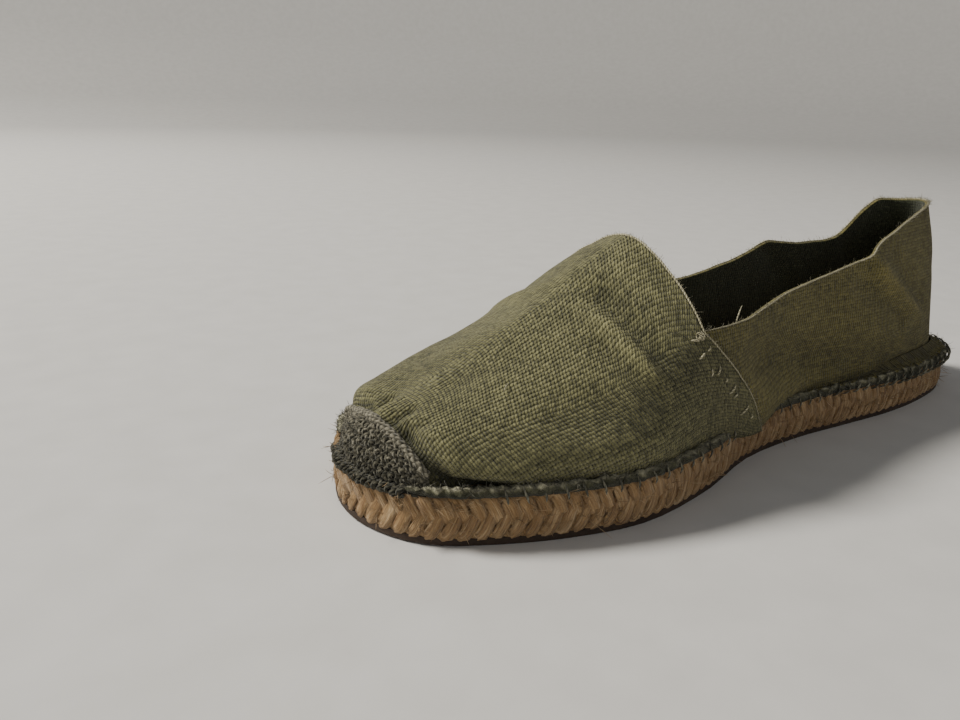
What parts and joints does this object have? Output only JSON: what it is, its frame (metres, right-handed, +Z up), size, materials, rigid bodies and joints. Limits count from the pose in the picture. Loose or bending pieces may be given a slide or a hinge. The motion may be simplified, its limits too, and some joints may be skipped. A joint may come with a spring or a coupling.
{
  "type": "espadrille",
  "caption": "Slip-on canvas espadrille with a coiled jute sole on thin rubber, a stitched thread toe and a low open collar",
  "frame": {"origin": "under the middle of the shoe's box, on the floor", "axes": "+X to the toe, +Y to the left side of the shoe, +Z up from the floor"},
  "size_m": [0.272, 0.0916, 0.074],
  "materials": {
    "rubber": "matt, dark brown, dusty",
    "jute": "braided jute, dry, with loose fibres",
    "canvas": "coarse plain-weave cotton canvas, olive green, matt",
    "toe_thread": "needle-stitched cotton thread, grey-green",
    "hem": "turned and frayed canvas edge with thread stitches, pale grey-green",
    "seam_thread": "cotton cord and thread, cream"
  },
  "bodies": {
    "root": {"rubber_outsole": "rubber", "jute_sole": "jute", "upper": "canvas", "toe_cap": "toe_thread", "sewn_hem": "hem"}
  },
  "joints": []
}
